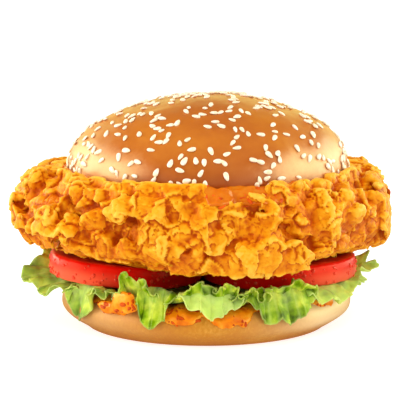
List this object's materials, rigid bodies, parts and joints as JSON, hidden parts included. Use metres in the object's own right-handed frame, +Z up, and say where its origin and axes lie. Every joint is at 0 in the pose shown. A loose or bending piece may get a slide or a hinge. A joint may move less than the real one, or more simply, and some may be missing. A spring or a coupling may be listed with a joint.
{
  "type": "chicken burger",
  "caption": "Burger with a large craggy fried chicken fillet, tomato slices, ruffled lettuce and chilli sauce in a sesame bun.",
  "frame": {"origin": "centre of the flat underside of the bottom bun, which the burger stands on", "axes": "+Z up through the stack; +X towards the right end of the fillet, its long direction; -Y towards the side that is looked at"},
  "size_m": [0.1318, 0.118, 0.082],
  "materials": {
    "bun_crown_crust": "golden-brown baked crust with a soft shine",
    "bun_heel_crust": "pale tan baked crust, dull",
    "fried_batter": "rough golden fried batter, lightly oily",
    "tomato_flesh": "wet glossy tomato skin and flesh",
    "lettuce_leaf": "fresh lettuce with a soft sheen",
    "sesame_seed": "ivory, slightly glossy",
    "chilli_fleck": "wet dark red chips of chilli",
    "water_drop": "clear drops of water",
    "chilli_mayonnaise": "glossy orange sauce with chilli flecks"
  },
  "bodies": {
    "root": {"bun_heel": "bun_heel_crust", "sauce_lower": "chilli_mayonnaise", "lettuce_left": "lettuce_leaf", "lettuce_front_left": "lettuce_leaf", "lettuce_front": "lettuce_leaf", "lettuce_right": "lettuce_leaf", "lettuce_back_right": "lettuce_leaf", "lettuce_back_left": "lettuce_leaf", "tomato_left": "tomato_flesh", "tomato_right": "tomato_flesh", "chicken_fillet": "fried_batter", "sauce_upper": "chilli_mayonnaise", "bun_crown": "bun_crown_crust"}
  },
  "joints": []
}
